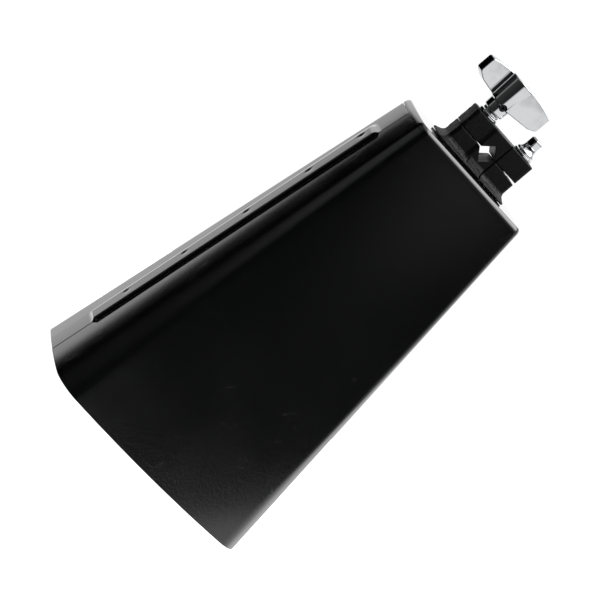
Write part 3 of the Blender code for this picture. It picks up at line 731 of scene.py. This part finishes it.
def wing_screw(plate, steel):
    """Add the handle with its hub and two offset wings, and the set screw."""
    low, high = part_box("wing_handle")
    neck_top = low.z + HUB_NECK
    points = [(0.0, high.z), (7.9 * MM, high.z - 0.05 * MM), (7.2 * MM, neck_top + 0.6 * MM),
              (6.2 * MM, neck_top - 0.1 * MM), (6.0 * MM, low.z), (3.3 * MM, low.z),
              (3.3 * MM, high.z - 5.0 * MM), (0.0, high.z - 5.0 * MM)]
    profile = rounded(points, [0.0, 0.9 * MM, 0.35 * MM, 0.3 * MM, 0.5 * MM, 0.2 * MM, 0.0, 0.0], 5)
    handle = add_mesh("wing_handle_chrome", lathe(profile, 160, (WING_X, 0.0, 0.0)))
    for turn in (0.0, math.pi):
        combine(handle, wing_plate(turn, WING_FACE, WING_THICKNESS, WING_LENGTH, neck_top, high.z), "UNION")
    screw_low, screw_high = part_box("wing_set_screw")
    centre = 0.5 * (screw_low + screw_high)
    aim = Matrix.Translation((WING_X, 0.0, centre.z)) @ Matrix.Rotation(math.radians(90.0), 4, "X")
    hole = lathe([(0.0, 2.5 * MM), (SET_SCREW_HOLE, 2.5 * MM), (SET_SCREW_HOLE, 20.0 * MM),
                  (0.0, 20.0 * MM)], 64)
    bmesh.ops.transform(hole, matrix=aim, verts=hole.verts)
    bottom = lathe([(0.0, low.z - MM), (3.25 * MM, low.z - MM), (3.25 * MM, low.z + 6.0 * MM),
                    (0.0, low.z + 6.0 * MM)], 64, (WING_X, 0.0, 0.0))
    combine(handle, bottom)
    combine(handle, hole)
    settle(handle, "wing_screw", plate, "chrome", "wing_handle")

    end = -screw_low.y
    start = -screw_high.y
    profile = rounded([(0.0, end), (SET_SCREW_RADIUS, end), (SET_SCREW_RADIUS, start), (0.0, start)],
                      [0.0, 0.35 * MM, 0.2 * MM, 0.0], 4)
    screw = lathe(profile, 64)
    bmesh.ops.transform(screw, matrix=aim, verts=screw.verts)
    screw = add_mesh("set_screw_black", screw)
    socket = lathe([(0.0, end - SOCKET_DEPTH), (SOCKET_RADIUS, end - SOCKET_DEPTH),
                    (SOCKET_RADIUS, end + MM), (0.0, end + MM)], 6)
    bmesh.ops.transform(socket, matrix=aim, verts=socket.verts)
    combine(screw, socket)
    settle(screw, "wing_screw", steel, "black_steel", "wing_set_screw")


def key_bolt(plate):
    """Add the drum-key bolt: shank, flange, flared skirt and domed square head."""
    low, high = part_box("key_bolt")
    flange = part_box("key_washer")[1].z + GAP
    skirt = []
    for i in range(13):
        angle = math.radians(234.0 - 54.0 * i / 12.0)
        skirt.append((7.6 * MM + KEY_SKIRT * math.cos(angle),
                      flange + 4.4 * MM + KEY_SKIRT * math.sin(angle)))
    profile = [(0.0, low.z), (2.5 * MM, low.z), (KEY_SHANK, low.z + 0.5 * MM), (KEY_SHANK, flange)]
    profile += rounded([(4.9 * MM, flange), (KEY_FLANGE, flange),
                        (KEY_FLANGE, flange + 0.9 * MM), skirt[0]],
                       [0.0, 0.3 * MM, 0.12 * MM, 0.0], 3)
    profile += skirt[1:] + [(3.4 * MM, flange + 4.7 * MM), (0.0, flange + 4.9 * MM)]
    bolt = add_mesh("key_bolt_chrome", lathe(profile, 128, (KEY_X, 0.0, 0.0)))

    place = Matrix.Translation((KEY_X, 0.0, 0.0)) @ Matrix.Rotation(math.radians(KEY_ANGLE), 4, "Z")
    levels = [(0.0, flange + 2.0 * MM)]
    for i in range(10):
        angle = math.radians(9.0 * i)
        levels.append((0.45 * (1.0 - math.cos(angle)), high.z - 1.3 * MM * (1.0 - math.sin(angle))))
    rings = []
    for shrink, height in levels:
        side = KEY_HALF_WIDTH * (1.0 - shrink)
        radius = 0.55 * MM * (1.0 - shrink)
        ring = []
        for corner in range(4):
            middle = math.radians(45.0 + 90.0 * corner)
            centre = ((side - radius) * math.copysign(1.0, math.cos(middle)),
                      (side - radius) * math.copysign(1.0, math.sin(middle)))
            for k in range(5):
                angle = middle + math.radians(22.5 * (k - 2))
                ring.append(place @ Vector((centre[0] + radius * math.cos(angle),
                                            centre[1] + radius * math.sin(angle), height)))
        rings.append(ring)
    head = loft(rings)
    combine(bolt, head, "UNION")
    settle(bolt, "key_screw", plate, "chrome", "key_bolt")


# ------------------------------------------------------------------- the stage

def make_stage():
    """Add the pale floor that the bell stands on."""
    bm = lathe([(0.0, -4.0 * MM), (FLOOR_RADIUS, -4.0 * MM),
                (FLOOR_RADIUS, FLOOR_TOP), (0.0, FLOOR_TOP)], 96)
    floor = add_mesh("floor", bm)
    look = Shader("floor_white", Metallic=0.0)
    look.colour(look.noise(3.0, 2.0), (0.9, 0.9, 0.9), (0.92, 0.92, 0.92))
    look.roughness(look.remap(look.noise(40.0, 3.0), 0.3, 0.7, 0.85, 0.95))
    look.shader.inputs["Specular IOR Level"].default_value = 0.1
    look.shader.inputs["Emission Color"].default_value = (1.0, 1.0, 1.0, 1.0)
    look.shader.inputs["Emission Strength"].default_value = FLOOR_GLOW
    floor.data.materials.append(look.material)
    floor.visible_glossy = False


def make_world():
    """Set up the soft studio: bright behind, dark in front above the level, softboxes overhead."""
    world = bpy.data.worlds.new("studio")
    bpy.context.scene.world = world
    world.use_nodes = True
    tree = world.node_tree
    tree.nodes.clear()
    links = tree.links

    def node(kind, **values):
        made = tree.nodes.new(kind)
        for key, value in values.items():
            setattr(made, key, value)
        return made

    def maths(operation, first, second=0.0):
        made = node("ShaderNodeMath", operation=operation)
        for socket, value in zip(made.inputs, (first, second)):
            if isinstance(value, (int, float)):
                socket.default_value = value
            else:
                links.new(value, socket)
        return made.outputs[0]

    def rise(value, low, high, reach=1.0):
        made = node("ShaderNodeMapRange", interpolation_type="SMOOTHSTEP")
        for socket, number in zip(("From Min", "From Max", "To Min", "To Max"), (low, high, 0.0, reach)):
            made.inputs[socket].default_value = number
        links.new(value, made.inputs["Value"])
        return made.outputs["Result"]

    direction = node("ShaderNodeTexCoord").outputs["Generated"]
    split = node("ShaderNodeSeparateXYZ")
    links.new(direction, split.inputs[0])
    x, y, z = split.outputs
    turn = maths("ARCTAN2", maths("MULTIPLY", x, -1.0), maths("MULTIPLY", y, -1.0))
    turn = maths("MULTIPLY", turn, 180.0 / math.pi)
    height = maths("MULTIPLY", maths("ARCSINE", z), 180.0 / math.pi)
    lean = maths("MULTIPLY", maths("MINIMUM", maths("MAXIMUM", height, -7.0), 0.5), 0.8)
    turn = maths("SUBTRACT", turn, lean)

    def bands(stops):
        """Return brightness round the horizon from (azimuth, brightness) stops."""
        ramp = node("ShaderNodeValToRGB")
        links.new(maths("DIVIDE", maths("ADD", turn, 180.0), 360.0), ramp.inputs["Fac"])
        elements = ramp.color_ramp.elements
        while len(elements) < len(stops):
            elements.new(0.5)
        for element, (azimuth, value) in zip(elements, stops):
            element.position = (azimuth + 180.0) / 360.0
            level = value / 2.0
            element.color = (level, level, level, 1.0)
        return maths("MULTIPLY", ramp.outputs["Color"], 2.0)

    front = bands(FRONT_STOPS)
    back = bands(BACK_STOPS)
    below = bands(LOW_STOPS)
    front = maths("MULTIPLY", front, maths("ADD", rise(height, 3.0, 8.5, 0.9), 0.1))
    high = bands(HIGH_STOPS)
    raised = rise(height, 2.0, 3.6)
    back = maths("ADD", maths("MULTIPLY", back, maths("SUBTRACT", 1.0, raised)),
                 maths("MULTIPLY", high, raised))
    deep = maths("SUBTRACT", 1.0, rise(maths("MULTIPLY", height, -1.0), 9.0, 16.0, 0.6))
    sky = rise(height, -2.4, -1.6)
    front = maths("MULTIPLY", front, sky)
    below = maths("MULTIPLY", maths("MULTIPLY", below, deep), maths("SUBTRACT", 1.0, sky))
    horizon = maths("ADD", maths("ADD", front, below), back)
    fade = maths("SUBTRACT", 1.0, rise(height, 12.0, 40.0))
    level = maths("MULTIPLY", horizon, maths("ADD", maths("MULTIPLY", fade, 0.7), 0.3))
    for azimuth, elevation, inner, outer, strength in LAMPS:
        a = math.radians(azimuth)
        e = math.radians(elevation)
        toward = (-math.sin(a) * math.cos(e), -math.cos(a) * math.cos(e), math.sin(e))
        dot = node("ShaderNodeVectorMath", operation="DOT_PRODUCT")
        links.new(direction, dot.inputs[0])
        dot.inputs[1].default_value = toward
        lamp = rise(dot.outputs["Value"], math.cos(math.radians(outer)), math.cos(math.radians(inner)),
                    strength)
        level = maths("ADD", level, lamp)
    seen = node("ShaderNodeLightPath").outputs["Is Camera Ray"]
    level = maths("ADD", maths("MULTIPLY", level, maths("SUBTRACT", 1.0, seen)),
                  maths("MULTIPLY", seen, BACKDROP))
    background = node("ShaderNodeBackground")
    links.new(level, background.inputs["Color"])
    output = node("ShaderNodeOutputWorld")
    links.new(background.outputs[0], output.inputs["Surface"])
    bpy.context.scene.view_settings.view_transform = "Standard"


def make_camera():
    """Place the camera at the photograph's viewing angle."""
    azimuth = math.radians(CAMERA["azimuth"])
    elevation = math.radians(CAMERA["elevation"])
    back = Vector((math.sin(azimuth) * math.cos(elevation), -math.cos(azimuth) * math.cos(elevation),
                   math.sin(elevation)))
    data = bpy.data.cameras.new("camera")
    data.sensor_width = 36.0
    data.lens = CAMERA["lens"]
    data.shift_x = CAMERA["shift_x"]
    data.shift_y = CAMERA["shift_y"]
    data.clip_start = 0.05
    data.clip_end = 20.0
    camera = bpy.data.objects.new("camera", data)
    bpy.context.scene.collection.objects.link(camera)
    camera.location = LOOK_AT + back * CAMERA["distance"]
    level = (-back).to_track_quat("-Z", "Y").to_matrix().to_4x4()
    spin = Matrix.Rotation(math.radians(CAMERA["roll"]), 4, "Z")
    camera.matrix_world = Matrix.Translation(camera.location) @ level @ spin
    bpy.context.scene.camera = camera


# ------------------------------------------------------------------- assembly

make_camera()
make_world()
make_stage()
PAINT = bell_paint()
CAST = cast_black()
CHROME = chrome()
ZINC = zinc()
BLACK_STEEL = black_steel()
bell_shells(PAINT)
clamp(CAST)
wing_screw(CHROME, BLACK_STEEL)
key_bolt(CHROME)
for washer, body, edge, split in (("wing_flat_washer", "wing_washers", 0.35 * MM, False),
                                  ("wing_spring_washer", "wing_washers", 0.3 * MM, True),
                                  ("key_washer", "key_washers", 0.3 * MM, False)):
    ring_piece(washer + "_chrome", washer, body, BORE_RADIUS, edge, CHROME, "chrome", split)
for name in ("backing_plate", "mount_screw_left", "mount_screw_right", "mount_lock_washer_left",
             "mount_lock_washer_right", "wing_stud", "wing_stud_nut", "key_bolt_nut"):
    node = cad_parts[name]
    node.data.materials.clear()
    node.data.materials.append(ZINC)
